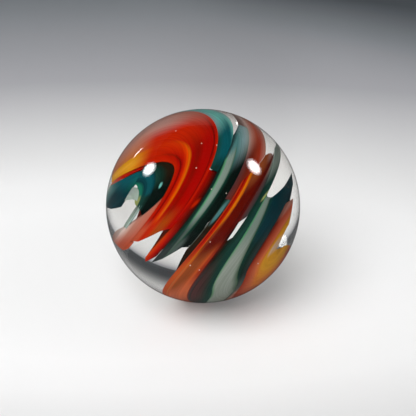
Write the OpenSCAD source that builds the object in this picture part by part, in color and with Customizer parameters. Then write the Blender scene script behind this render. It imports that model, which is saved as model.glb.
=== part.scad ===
// Glass marble: a clear glass ball with ribbons of coloured glass twisted through its front.
// Units are millimetres. +Z is up, -Y is the front, and the origin is the centre of the ball.
//
// How it is made: strips of red, amber, teal, sage and dark green glass are laid side by side on
// a gob of clear glass, the hot cane is bowed and twisted, and a piece cut from it is rounded
// into a ball. So the strips part along seams that run down the cane together. Each strip has
// a foot and a head, its outer edge lies just under the skin, and it reaches some way into the
// ball. Clear windows are left where no strip lies.
//
// A place in the ball is given by a place across the stack of strips, a height along the cane,
// and a way in from the skin. Near the top of the cane the stack is narrow enough for strips to
// be seen at both their rims: at the near one, in front, and at the far one round the side.
//
// The ribbons are laid out in a ball of the pattern's diameter. They grow and shrink with the
// marble, so every place, height and depth below is what it would be in that ball.

/* [Ball] */
// Diameter of the finished marble
ball_diameter = 25; // [14:0.5:50]
// Clear glass left over the outer edge of every ribbon
skin = 0.25; // [0.15:0.05:0.6]

/* [Cane] */
// Lean of the cane from upright, in degrees
cane_lean = 28.3; // [0:0.1:60]
// Side the top of the cane leans to, in degrees round from +X
cane_heading = 162.7; // [0:0.1:360]
// Twist of the cane, in degrees for each millimetre along it
twist_rate = 6.18; // [5.8:0.02:7]
// Turn of the stack at the middle of the ball, in degrees
twist_start = 207; // [195:0.5:220]
// Distance from the middle of the ball to the line the cane twists about
twist_offset = 6.3; // [5.8:0.1:6.8]
// Side on which that line lies, in degrees
twist_offset_side = 277; // [265:0.5:290]
// Radius to which the middle of the stack is bowed
bow_radius = 24.9; // [20:0.1:60]
// Clear film where ribbons run side by side or end to end
film = 0.15; // [0.1:0.01:0.2]

/* [Depths, inwards from the skin] */
// Most ribbons, at their middle
ribbon_depth = 5; // [2:0.1:6.5]
// Wide red ribbon, over its lower part
wide_red_depth = 4.5; // [2:0.1:6]
// Height above which the wide red ribbon deepens until it runs right across the ball
wide_red_deepens = 6.5; // [6:0.1:9]
// How much it deepens there for each millimetre of height
deepening = 3.5; // [1:0.1:4]
// Pale red veil at the foot of the wide red ribbon
veil_depth = 1.5; // [1:0.1:4]
// Blade in the eye
blade_depth = 1.2; // [0.6:0.1:4]
// Dark eye
eye_depth = 3; // [1:0.1:6]
// Blade and red ribbon on the far side of the eye, inwards from the far rim
far_depths = [3, 5]; // [1:0.1:6]

/* [Places of the seams across the stack, at the middle of the ball] */
// Outer edge of the blade in the eye
blade_place = -14.6; // [-14.9:0.05:-14]
// Seam between the blade and the dark eye
eye_place = -13.5; // [-13.8:0.05:-12.8]
// Outer edge of the veil
veil_place = -14.4; // [-14.5:0.05:-13]
// Seam between the blade and the red ribbon on the far side
far_red_place = -13.2; // [-13.5:0.05:-12.9]
// Seam between the eye and the wide red ribbon
wide_red_place = -11.5; // [-12:0.05:-11.2]
// Inner edge of the veil
veil_end_place = -10.7; // [-10.9:0.05:-10.5]
// Start of the amber core of the wide red ribbon
wide_amber_place = -10; // [-10.3:0.05:-9.7]
// Width of that amber core
wide_amber_width = 0.55; // [0.3:0.05:1]
// Seam between the wide red ribbon and the teal ribbon
teal_place = -6; // [-6.4:0.05:-5.6]
// Seam between the red leg and the dark strip
strip_place = -3.9; // [-4.3:0.05:-3.7]
// Start of the middle sage stripe
middle_sage_place = -2.3; // [-2.5:0.05:-2.25]
// Seam between the middle sage stripe and the dark green ribbon
middle_green_place = -2.15; // [-2.2:0.05:-1.9]
// Seam between the dark green ribbon and the red flap
flap_place = 0.56; // [0.2:0.02:0.8]
// Seam between the dark sliver and the narrow red ribbon
narrow_red_place = 1.96; // [1.76:0.02:2.1]
// Start of the amber core of the narrow red ribbon
narrow_amber_place = 3.06; // [2.9:0.02:3.2]
// Width of that amber core
narrow_amber_width = 0.54; // [0.3:0.02:0.8]
// Side of the red flap, over the notch by the head of the narrow red ribbon
notch_place = 5.25; // [4.9:0.05:5.6]
// Seam between the narrow red ribbon and the clear slit
slit_place = 6.35; // [6.1:0.05:6.5]
// Seam between the clear slit and the dark ribbon
dark_place = 7.35; // [7.2:0.05:7.5]
// Seam between the dark ribbon and the edge sage stripe
edge_sage_place = 8.14; // [8:0.02:8.3]
// Seam between the edge sage stripe and the edge teal ribbon
edge_teal_place = 9.19; // [9:0.02:9.3]
// Seam between the edge teal ribbon and the edge red ribbon
edge_red_place = 11.45; // [11.3:0.02:11.6]
// Seam between the edge red ribbon and its amber
edge_amber_place = 12.75; // [12.6:0.02:12.8]
// Outer edge of that amber
edge_window_place = 13.05; // [12.95:0.02:13.1]

/* [Feet and heads, heights along the cane at each line of a ribbon] */
// Feet of the blade
blade_feet = [7.2, 6]; // [5.5:0.1:8]
// Feet of the dark eye
eye_feet = [6.3, 5.6, 6.8]; // [5:0.1:8]
// Head of the dark eye
eye_head = 9.85; // [9.4:0.05:9.95]
// Feet of the blade on the far side
far_blade_feet = [7.2, 6.6]; // [6:0.1:8.5]
// Feet of the red ribbon on the far side
far_red_feet = [8, 8.6]; // [7:0.1:9]
// Heads of that blade and that red ribbon, short of the place where the two rims meet
far_heads = [8.7, 9.5, 9.7]; // [8.5:0.05:9.9]
// Feet of the wide red ribbon, over the lower left window
wide_red_feet = [3, 2.8, 2.95, 3.4, 3.3]; // [2:0.05:5]
// Feet of the veil
veil_feet = [2.3, 1.6, 2]; // [0.5:0.1:2.4]
// Heads of the veil, under the eye
veil_heads = [4.4, 6.6]; // [4:0.1:6.6]
// Feet of the teal ribbon
teal_feet = [7.05, 6.35, 9]; // [6:0.05:10]
// Feet of the red leg
leg_feet = [0.7, 0.1, 0.6]; // [0:0.1:3]
// Feet of the dark strip, the middle sage stripe and the dark green ribbon
middle_feet = [-0.1, 0.1, 0.2, 0.75, 0.5]; // [-0.5:0.05:2]
// Heads of the dark green ribbon
middle_heads = [7.9, 8.1, 7.2]; // [6:0.05:8.4]
// Feet of the red flap: over the dark sliver, then over the narrow red ribbon
flap_feet = [3.5, 3.05, 4.2, 4.35]; // [2.5:0.05:4.5]
// Heads of the red flap
flap_heads = [8.4, 8.1, 8, 5.9]; // [5:0.05:8.6]
// Feet of the dark sliver
sliver_feet = [0.3, -1.9]; // [-3:0.05:1]
// Heads of the narrow red ribbon, under the flap and then under the notch
narrow_red_heads = [3.9, 4.1, 4.2, 4.15, 3.3]; // [3:0.05:4.3]
// Height of the top of the clear slit
slit_top = 1; // [0.4:0.02:1.4]
// Height of the bottom of the clear slit
slit_bottom = -0.9; // [-2:0.02:-0.4]
// Heads of the dark cap over the slit, and of the dark ribbon
dark_heads = [3.3, 3.5, 2.8]; // [2:0.05:3.8]
// Heads of the edge sage stripe and the edge teal ribbon
edge_heads = [0.8, 0.15, -0.15, -0.35]; // [-2:0.05:1.5]
// Heads of the edge red ribbon and its amber
edge_red_heads = [-1.9, -2.8, -4.4]; // [-5:0.05:-1.5]

/* [Hidden] */
// What the library shows: every node, or the one that is named.

// Steps up a ribbon and inwards over its faces, and its widest step across.
rise_steps = 17;
shallow_steps = 3;
deep_steps = 9;
row_step = 1.8;
ball_facets = 240;

// Size of the marble against the pattern, where the ribbons end, and the line the cane twists
// about.
pattern_diameter = 25;
growth = ball_diameter / pattern_diameter;
rim_radius = pattern_diameter / 2 - skin;
twist_line = twist_offset * [cos(twist_offset_side), sin(twist_offset_side)];
past_rim = 2 * pattern_diameter;

// A seam starts at its place and drifts across the stack with the height: by a slope, and by a
// flare that grows as the square of the height over some level.
function seam(place, slope = 0, curl = 0, flare = 0, level = 0) =
    [place, slope, curl, flare, level];
function seam_at(s, h) = s[0] + s[1] * h + s[2] * h * h + s[3] * pow(max(0, h - s[4]), 2);

blade_seam = seam(blade_place);
eye_seam = seam(eye_place);
veil_seam = seam(veil_place);
far_red_seam = seam(far_red_place);
wide_red_seam = seam(wide_red_place, flare = -0.6, level = 8.4);
veil_end_seam = seam(veil_end_place);
wide_amber_seam = seam(wide_amber_place, flare = -0.25, level = 9);
wide_core_seam = seam(wide_amber_place + wide_amber_width, flare = -0.25, level = 9);
teal_seam = seam(teal_place, slope = 0.04, flare = 0.0625, level = 6);
strip_seam = seam(strip_place, flare = 0.06, level = 6.5);
middle_sage_seam = seam(middle_sage_place, slope = -0.325, curl = 0.026);
middle_green_seam = seam(middle_green_place, slope = 0.12);
flap_seam = seam(flap_place, flare = 0.06, level = 3);
narrow_red_seam = seam(narrow_red_place, slope = -0.06, flare = 0.02);
narrow_amber_seam = seam(narrow_amber_place, slope = -0.03, flare = 0.012);
narrow_core_seam = seam(narrow_amber_place + narrow_amber_width, slope = -0.03, flare = 0.012);
notch_seam = seam(notch_place);
slit_seam = seam(slit_place, slope = -0.12, flare = 0.35, level = 1.3);
dark_seam = seam(dark_place, slope = -0.06, flare = 0.05);
edge_sage_seam = seam(edge_sage_place, slope = -0.23, flare = 0.22);
edge_teal_seam = seam(edge_teal_place, slope = -0.37, curl = -0.0125);
edge_red_seam = seam(edge_red_place, slope = -0.075);
edge_amber_seam = seam(edge_amber_place);
edge_window_seam = seam(edge_window_place);

// A line of a ribbon's outer edge: along a seam or part of the way to another, some way off
// it, from a foot to a head. Where it has none, the line runs on to the rim.
function line(along, foot = -past_rim, head = past_rim, to = undef, part = 0, off = 0) =
    [along, foot, head, is_undef(to) ? along : to, part, off];
function line_at(l, h) = (1 - l[4]) * seam_at(l[0], h) + l[4] * seam_at(l[3], h) + l[5];

// A sheet is a row of ribbons with one outline and no clear glass between them: its lines from
// the eye side onwards, its depth, and each ribbon's glass with its first and its last line.
// Then how much of the way across the ball it may take, which is below zero where it hangs from
// the far rim, and the height from which it deepens.
half_way = 0.47;
function sheet(lines, depth, ribbons, reach = 1, deepens = past_rim) =
    [lines, depth, ribbons, reach, deepens];
step_over = 0.15;
sheets = [
    sheet(
        [line(blade_seam, blade_feet[0]), line(eye_seam, blade_feet[1])],
        blade_depth,
        [["teal", 0, 1]],
        reach = half_way
    ),
    sheet(
        [
            line(eye_seam, eye_feet[0], eye_head),
            line(eye_seam, eye_feet[1], eye_head, to = wide_red_seam, part = 0.25),
            line(wide_red_seam, eye_feet[2], eye_head, off = -film)
        ],
        eye_depth,
        [["green", 0, 2]],
        reach = half_way
    ),
    sheet(
        [
            line(blade_seam, far_blade_feet[0], far_heads[0]),
            line(far_red_seam, far_blade_feet[1], far_heads[1])
        ],
        far_depths[0],
        [["teal", 0, 1]],
        reach = -half_way
    ),
    sheet(
        [
            line(far_red_seam, far_red_feet[0], far_heads[1]),
            line(wide_red_seam, far_red_feet[1], far_heads[2], off = -film)
        ],
        far_depths[1],
        [["red", 0, 1]],
        reach = -half_way
    ),
    sheet(
        [
            line(wide_red_seam, wide_red_feet[0]),
            line(wide_amber_seam, wide_red_feet[1]),
            line(wide_core_seam, wide_red_feet[2]),
            line(wide_core_seam, wide_red_feet[3], to = teal_seam, part = 0.55),
            line(teal_seam, wide_red_feet[4])
        ],
        wide_red_depth,
        [["red", 0, 1], ["amber", 1, 2], ["red", 2, 4]],
        deepens = wide_red_deepens
    ),
    sheet(
        [
            line(veil_seam, veil_feet[0], veil_heads[0]),
            line(wide_red_seam, veil_feet[1], veil_heads[1], off = -step_over),
            line(wide_red_seam, veil_feet[1], wide_red_feet[0] - film),
            line(veil_end_seam, veil_feet[2], wide_red_feet[1] - film)
        ],
        veil_depth,
        [["red", 0, 3]]
    ),
    sheet(
        [
            line(teal_seam, teal_feet[0]),
            line(strip_seam, teal_feet[1]),
            line(middle_green_seam, teal_feet[2])
        ],
        ribbon_depth,
        [["teal", 0, 2]]
    ),
    sheet(
        [
            line(teal_seam, leg_feet[0], teal_feet[0] - film),
            line(teal_seam, leg_feet[1], 0.6 * teal_feet[0] + 0.4 * teal_feet[1] - film,
                to = strip_seam, part = 0.4),
            line(strip_seam, leg_feet[2], teal_feet[1] - film)
        ],
        ribbon_depth,
        [["red", 0, 2]]
    ),
    sheet(
        [
            line(strip_seam, middle_feet[0], teal_feet[1] - film),
            line(middle_sage_seam, middle_feet[1], teal_feet[1] + 0.4),
            line(middle_green_seam, middle_feet[2], middle_heads[0]),
            line(middle_green_seam, middle_feet[3], middle_heads[1], to = flap_seam, part = 0.55),
            line(flap_seam, middle_feet[4], middle_heads[2])
        ],
        ribbon_depth,
        [["green", 0, 1], ["sage", 1, 2], ["green", 2, 4]]
    ),
    sheet(
        [
            line(flap_seam, flap_feet[0], flap_heads[0]),
            line(narrow_red_seam, flap_feet[1], flap_heads[1], off = -step_over),
            line(narrow_red_seam, flap_feet[2], flap_heads[2]),
            line(notch_seam, flap_feet[3], flap_heads[3])
        ],
        ribbon_depth,
        [["red", 0, 3]]
    ),
    sheet(
        [
            line(flap_seam, sliver_feet[0], flap_feet[0] - film),
            line(narrow_red_seam, sliver_feet[1], flap_feet[1] - film)
        ],
        ribbon_depth,
        [["green", 0, 1]]
    ),
    sheet(
        [
            line(narrow_red_seam, head = narrow_red_heads[0]),
            line(narrow_amber_seam, head = narrow_red_heads[1]),
            line(narrow_core_seam, head = narrow_red_heads[2]),
            line(notch_seam, head = narrow_red_heads[3]),
            line(slit_seam, head = narrow_red_heads[4])
        ],
        ribbon_depth,
        [["red", 0, 1], ["amber", 1, 2], ["red", 2, 4]]
    ),
    sheet(
        [
            line(slit_seam, slit_top, dark_heads[0], off = film),
            line(dark_seam, slit_top, dark_heads[1])
        ],
        ribbon_depth,
        [["green", 0, 1]]
    ),
    sheet(
        [line(slit_seam, head = slit_bottom), line(dark_seam, head = slit_bottom)],
        ribbon_depth,
        [["green", 0, 1]]
    ),
    sheet(
        [line(dark_seam, head = dark_heads[1]), line(edge_sage_seam, head = dark_heads[2])],
        ribbon_depth,
        [["green", 0, 1]]
    ),
    sheet(
        [
            line(edge_sage_seam, head = edge_heads[0]),
            line(edge_teal_seam, head = edge_heads[1]),
            line(edge_teal_seam, head = edge_heads[2], to = edge_red_seam, part = 0.5),
            line(edge_red_seam, head = edge_heads[3])
        ],
        ribbon_depth,
        [["sage", 0, 1], ["teal", 1, 3]]
    ),
    sheet(
        [
            line(edge_red_seam, head = edge_red_heads[0]),
            line(edge_amber_seam, head = edge_red_heads[1]),
            line(edge_window_seam, head = edge_red_heads[2])
        ],
        ribbon_depth,
        [["red", 0, 1], ["amber", 1, 2]]
    )
];

// At a height along the cane: the turn of the stack, the ball's slice, and the middle of that
// slice seen from the stack's bow centre.
function stack_turn(h) = twist_start + twist_rate * h;
function slice_radius(h) = sqrt(max(0, rim_radius * rim_radius - h * h));
function slice_middle(h) =
    let (a = twist_offset_side - stack_turn(h))
    [bow_radius - twist_offset * cos(a), -twist_offset * sin(a)];

// How far a place across the stack lies inside the rim at a height.
function inside_rim(q, h) = slice_radius(h) - abs(bow_radius + q - norm(slice_middle(h)));

// The rows of a sheet: each lies on a line or part of the way to the next. The outermost two
// stand half a film off their seams. A row is its two lines, its part, its room and its ends.
function line_gap(a, b) =
    let (h = max(-0.8 * rim_radius, min(0.8 * rim_radius,
        (max(a[1], b[1]) + min(a[2], b[2])) / 2)))
    abs(line_at(b, h) - line_at(a, h));
function steps_between(a, b) = max(1, ceil(line_gap(a, b) / row_step));
function row(a, b, part, room) = [a, b, part, room];
function row_at(r, h) = (1 - r[2]) * line_at(r[0], h) + r[2] * line_at(r[1], h) + r[3];
function rows_between(lines, first, last) =
    [
        for (k = [first:last - 1])
            let (n = steps_between(lines[k], lines[k + 1]))
            each [
                for (i = [0:k == last - 1 ? n : n - 1])
                    row(
                        lines[k], lines[k + 1], i / n,
                        k == 0 && i == 0 ? film / 2
                            : k == len(lines) - 2 && i == n ? -film / 2 : 0
                    )
            ]
    ];

// Ends of a row: its own foot or head, or the height where it meets the rim, found by halving
// from the height where it lies furthest inside.
scan_steps = 120;
function row_foot(r) = max(-rim_radius, (1 - r[2]) * r[0][1] + r[2] * r[1][1]);
function row_head(r) = min(rim_radius, (1 - r[2]) * r[0][2] + r[2] * r[1][2]);
function deepest(r) =
    let (
        foot = row_foot(r),
        head = row_head(r),
        heights = [for (i = [0:scan_steps]) foot + (head - foot) * i / scan_steps],
        depths = [for (h = heights) inside_rim(row_at(r, h), h)]
    )
    heights[search(max(depths), depths)[0]];
function rim_height(r, inside, outside, halvings = 26) =
    let (mid = (inside + outside) / 2)
    halvings == 0 ? mid
        : inside_rim(row_at(r, mid), mid) > 0 ? rim_height(r, mid, outside, halvings - 1)
        : rim_height(r, inside, mid, halvings - 1);
function row_end(r, best, end) =
    inside_rim(row_at(r, end), end) > 0 ? end : rim_height(r, best, end);

// A point at a place across the stack, a height and an arc length in from a rim: the near one,
// or the far one where the side is -1. The arc from rim to rim has its half angle from the law
// of cosines.
function half_arc(q, h) =
    let (r = bow_radius + q, d = norm(slice_middle(h)), s = slice_radius(h))
    acos(max(-1, min(1, (r * r + d * d - s * s) / (2 * r * d))));
function inner_point(q, h, sunk, side) =
    let (
        middle = slice_middle(h),
        r = bow_radius + q,
        a = atan2(middle[1], middle[0]) - side * (half_arc(q, h) - sunk / r * 180 / PI),
        x = r * cos(a) - bow_radius,
        y = r * sin(a),
        turn = stack_turn(h)
    )
    growth * [
        twist_line[0] + x * cos(turn) - y * sin(turn),
        twist_line[1] + x * sin(turn) + y * cos(turn),
        h
    ];

// Stations up a row, closer together towards its two ends. Each is a place, a height and a
// depth, which swells like an ellipse from nothing at the ends, grows faster over the height
// where the sheet deepens, and never passes the sheet's reach.
function stations(r, sheet) =
    let (
        best = deepest(r),
        low = row_end(r, best, row_foot(r)),
        high = row_end(r, best, row_head(r))
    )
    [
        for (i = [0:rise_steps])
            let (
                wave = cos(180 * i / rise_steps),
                h = (low + high) / 2 - wave * (high - low) / 2,
                q = row_at(r, h),
                across = abs(sheet[3]) * 2 * half_arc(q, h) * PI / 180 * (bow_radius + q),
                swell = sqrt(max(0, 1 - wave * wave)),
                over = max(0, h - sheet[4])
            )
            [q, h, min(across, sheet[1] * swell + deepening * over)]
    ];

// Outline of a row: up its inner edge and down its outer one. Then the points over its face.
function outline(s, side) =
    let (n = rise_steps)
    concat(
        [for (i = [0:n]) inner_point(s[i][0], s[i][1], s[i][2], side)],
        [for (i = [n - 1:-1:1]) inner_point(s[i][0], s[i][1], 0, side)]
    );
function face_points(s, steps, side) =
    [
        for (i = [1:rise_steps - 1], j = [1:steps - 1])
            inner_point(s[i][0], s[i][1], s[i][2] * j / steps, side)
    ];

// Number of a face's grid point: on the outline from its first number, or inside.
loop_size = 2 * rise_steps;
function grid_number(rim, inner, steps, i, j) =
    i == 0 ? rim
        : i == rise_steps ? rim + rise_steps
        : j == steps ? rim + i
        : j == 0 ? rim + loop_size - i
        : inner + (i - 1) * (steps - 1) + j - 1;

// The two triangles of a square, without those that shrink to a line at a tip.
function square_faces(a, b, c, d) =
    [for (t = [[a, b, c], [a, c, d]]) if (t[0] != t[1] && t[1] != t[2] && t[2] != t[0]) t];
function face_squares(rim, inner, steps, flip) =
    [
        for (i = [0:rise_steps - 1], j = [0:steps - 1])
            let (
                a = grid_number(rim, inner, steps, i, j),
                b = grid_number(rim, inner, steps, i + 1, j),
                c = grid_number(rim, inner, steps, i + 1, j + 1),
                d = grid_number(rim, inner, steps, i, j + 1)
            )
            each [for (t = square_faces(a, b, c, d)) flip ? [t[2], t[1], t[0]] : t]
    ];

// The part of a sheet between two of its lines, as one solid.
module ribbon(sheet, first, last) {
    steps = sheet[4] < past_rim ? deep_steps : shallow_steps;
    side = sheet[3] < 0 ? -1 : 1;
    stacks = [for (r = rows_between(sheet[0], first, last)) stations(r, sheet)];
    rows = len(stacks);
    inner_count = (rise_steps - 1) * (steps - 1);
    points = concat(
        [for (s = stacks) each outline(s, side)],
        face_points(stacks[0], steps, side),
        face_points(stacks[rows - 1], steps, side)
    );
    edge = [
        for (k = [0:rows - 2], i = [0:loop_size - 1])
            let (
                next = (i + 1) % loop_size,
                low = k * loop_size,
                high = low + loop_size
            )
            each square_faces(low + i, high + i, high + next, low + next)
    ];
    inner = rows * loop_size;
    faces = concat(
        edge,
        face_squares(0, inner, steps, true),
        face_squares((rows - 1) * loop_size, inner + inner_count, steps, false)
    );
    polyhedron(
        points = points,
        faces = side > 0 ? faces : [for (f = faces) [f[2], f[1], f[0]]],
        convexity = 6
    );
}

// Leans the cane the way it lies in the ball.
module along_cane() {
    rotate([0, cane_lean, cane_heading])
        children();
}

// Every ribbon of one glass.
module ribbons_of(glass) {
    for (sheet = sheets, part = sheet[2])
        if (part[0] == glass)
            along_cane()
                ribbon(sheet, part[1], part[2]);
}

// The clear glass: the ball, less the room that each sheet fills.
module clear_glass() {
    color([0.86, 0.93, 0.92, 0.35])
        difference() {
            sphere(d = ball_diameter, $fn = ball_facets);
            for (sheet = sheets)
                along_cane()
                    ribbon(sheet, 0, len(sheet[0]) - 1);
        }
}

module red_glass() {
    color([0.72, 0.10, 0.04])
        ribbons_of("red");
}

module amber_glass() {
    color([0.85, 0.55, 0.10])
        ribbons_of("amber");
}

module teal_glass() {
    color([0.05, 0.36, 0.38])
        ribbons_of("teal");
}

module sage_glass() {
    color([0.50, 0.62, 0.52])
        ribbons_of("sage");
}

module green_glass() {
    color([0.07, 0.16, 0.13])
        ribbons_of("green");
}

clear_glass();
red_glass();
amber_glass();
teal_glass();
sage_glass();
green_glass();
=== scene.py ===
"""Looks of a glass marble: bowed, twisted ribbons of coloured glass in a clear glass ball.

Lengths in the dataclasses are millimetres and angles are degrees, as a glass worker would say
them, except where a docstring says metres. Everything that goes into a mesh is turned to metres
in the part's own frame: origin at the middle of the ball, +Z up, -Y to the front.
"""

import logging
import math
from dataclasses import dataclass
from enum import Enum
from typing import Any

import bpy
import numpy as np
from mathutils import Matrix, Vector

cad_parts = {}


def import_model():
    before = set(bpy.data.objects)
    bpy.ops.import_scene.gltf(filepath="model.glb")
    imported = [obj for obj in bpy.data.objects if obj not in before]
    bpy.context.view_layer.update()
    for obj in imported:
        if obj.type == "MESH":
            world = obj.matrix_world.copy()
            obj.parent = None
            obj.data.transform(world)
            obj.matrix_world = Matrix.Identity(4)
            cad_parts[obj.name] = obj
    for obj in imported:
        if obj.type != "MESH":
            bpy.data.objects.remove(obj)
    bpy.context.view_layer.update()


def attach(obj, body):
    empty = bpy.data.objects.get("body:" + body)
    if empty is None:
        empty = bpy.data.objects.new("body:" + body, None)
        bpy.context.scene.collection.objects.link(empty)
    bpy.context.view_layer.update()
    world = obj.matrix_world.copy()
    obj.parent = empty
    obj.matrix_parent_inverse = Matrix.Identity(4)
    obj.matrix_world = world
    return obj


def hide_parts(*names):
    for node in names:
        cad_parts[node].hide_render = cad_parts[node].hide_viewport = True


LOG = logging.getLogger("glass_marble")
MM = 0.001
# Settings of a Map Range node that eases in and out, and of a Mix node that mixes colours, which
# takes them at inputs 6 and 7 and gives the result at output 2.
SMOOTH: dict[str, str] = {"interpolation_type": "SMOOTHSTEP"}
COLOUR: dict[str, str] = {"data_type": "RGBA"}

Stops = tuple[tuple[float, str], ...]
Triple = tuple[float, float, float]


# ---- small helpers


def linear(code: str) -> tuple[float, float, float, float]:
    """Turn an sRGB hex colour into the linear values that shaders take.

    Args:
        code: Colour such as "#c03010".

    Returns:
        Red, green, blue and 1, linear.
    """
    raw = np.array([int(code[i : i + 2], 16) for i in (1, 3, 5)]) / 255.0
    flat = np.where(raw <= 0.04045, raw / 12.92, ((raw + 0.055) / 1.055) ** 2.4)
    return float(flat[0]), float(flat[1]), float(flat[2]), 1.0


def add_node(
    tree: bpy.types.NodeTree,
    kind: str,
    inputs: dict[str | int, Any] | None = None,
    **settings: Any,
) -> bpy.types.Node:
    """Add a shader node with its values, links and settings.

    Args:
        tree: Node tree to add to.
        kind: Blender's name of the node type, after "ShaderNode".
        inputs: Values by socket name or number. A socket as the value makes a link, and a node
            links its first output.
        **settings: Attributes to set on the node.

    Returns:
        The new node.
    """
    node = tree.nodes.new(f"ShaderNode{kind}")
    for name, value in settings.items():
        setattr(node, name, value)
    for key, value in (inputs or {}).items():
        if isinstance(value, bpy.types.Node):
            value = value.outputs[0]
        if isinstance(value, bpy.types.NodeSocket):
            tree.links.new(value, node.inputs[key])
        else:
            node.inputs[key].default_value = value
    return node


def fill_ramp(node: bpy.types.Node, stops: Stops) -> bpy.types.NodeSocket:
    """Set the colours of a ramp.

    Args:
        node: The ramp's node.
        stops: Each colour and its place, from 0 to 1.

    Returns:
        The socket that the colour comes out of.
    """
    band = node.color_ramp
    while len(band.elements) < len(stops):
        band.elements.new(0.5)
    for element, (place, code) in zip(band.elements, stops):
        element.position = place
        element.color = linear(code)
    return node.outputs[0]


def lay_over(
    tree: bpy.types.NodeTree, under: Any, over: Any, value: bpy.types.NodeSocket, ease: Triple
) -> bpy.types.NodeSocket:
    """Lay a colour over another, where a value rises or falls.

    Args:
        tree: Node tree to add to.
        under: The colour below.
        over: The colour on top.
        value: What it goes by.
        ease: The value where it starts, the value where it is full, and its full share.

    Returns:
        The socket of the blended colour.
    """
    rise = {"Value": value, "From Min": ease[0], "From Max": ease[1], "To Max": ease[2]}
    both = {0: add_node(tree, "MapRange", rise, **SMOOTH), 6: under, 7: over}
    return add_node(tree, "Mix", both, **COLOUR).outputs[2]


def new_material(name: str) -> tuple[bpy.types.Material, bpy.types.NodeTree]:
    """Start an empty node material.

    Args:
        name: Name of the material.

    Returns:
        The material and its node tree.
    """
    material = bpy.data.materials.new(name)
    material.use_nodes = True
    material.node_tree.nodes.clear()
    return material, material.node_tree


def grid_faces(rows: int, columns: int, wrap: bool) -> np.ndarray:
    """Number the squares of a grid of points, counted row by row.

    Args:
        rows: Rows of points.
        columns: Points in a row.
        wrap: Whether the last point of a row joins the first.

    Returns:
        An array of shape (squares, 4).
    """
    across = columns if wrap else columns - 1
    i, j = np.meshgrid(np.arange(rows - 1), np.arange(across), indexing="ij")
    k = (j + 1) % columns
    a, b = i * columns + j, i * columns + k
    return np.stack([a, b, b + columns, a + columns], axis=-1).reshape(-1, 4)


def circle(count: int) -> np.ndarray:
    """Angles all round, in equal steps: 2 pi times the number of the step over their count."""
    return 2 * np.pi * np.arange(count) / count


def mesh_object(
    name: str,
    points_mm: np.ndarray,
    faces: list[np.ndarray],
    slots: np.ndarray | None = None,
    vectors: dict[str, np.ndarray] | None = None,
) -> bpy.types.Object:
    """Make a smooth mesh object from arrays.

    Args:
        name: Name of the object.
        points_mm: Points in millimetres, shape (n, 3).
        faces: Arrays of faces, each with its own count of corners.
        slots: Material slot number of each face.
        vectors: Three numbers for each point, by attribute name.

    Returns:
        The object, linked to the scene, at the origin.
    """
    corners = np.concatenate([block.ravel() for block in faces]).astype(np.int32)
    sizes = np.concatenate([np.full(len(block), block.shape[1], np.int32) for block in faces])
    starts = np.concatenate([[0], np.cumsum(sizes)[:-1]]).astype(np.int32)
    mesh = bpy.data.meshes.new(name)
    mesh.vertices.add(len(points_mm))
    mesh.vertices.foreach_set("co", (points_mm * MM).astype(np.float32).ravel())
    mesh.loops.add(len(corners))
    mesh.loops.foreach_set("vertex_index", corners)
    mesh.polygons.add(len(sizes))
    mesh.polygons.foreach_set("loop_start", starts)
    mesh.polygons.foreach_set("loop_total", sizes)
    mesh.polygons.foreach_set("use_smooth", np.ones(len(sizes), dtype=bool))
    if slots is not None:
        mesh.polygons.foreach_set("material_index", slots.astype(np.int32))
    mesh.update(calc_edges=True)
    mesh.validate()
    for key, values in (vectors or {}).items():
        layer = mesh.attributes.new(key, "FLOAT_VECTOR", "POINT")
        layer.data.foreach_set("vector", values.astype(np.float32).ravel())
    body = bpy.data.objects.new(name, mesh)
    bpy.context.scene.collection.objects.link(body)
    return body


# ---- the geometry


class Glass(Enum):
    """The glasses that the marble is made of, by the CAD node each one fills."""

    CLEAR = "clear_glass"
    RED = "red_glass"
    AMBER = "amber_glass"
    TEAL = "teal_glass"
    SAGE = "sage_glass"
    GREEN = "green_glass"


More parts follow.
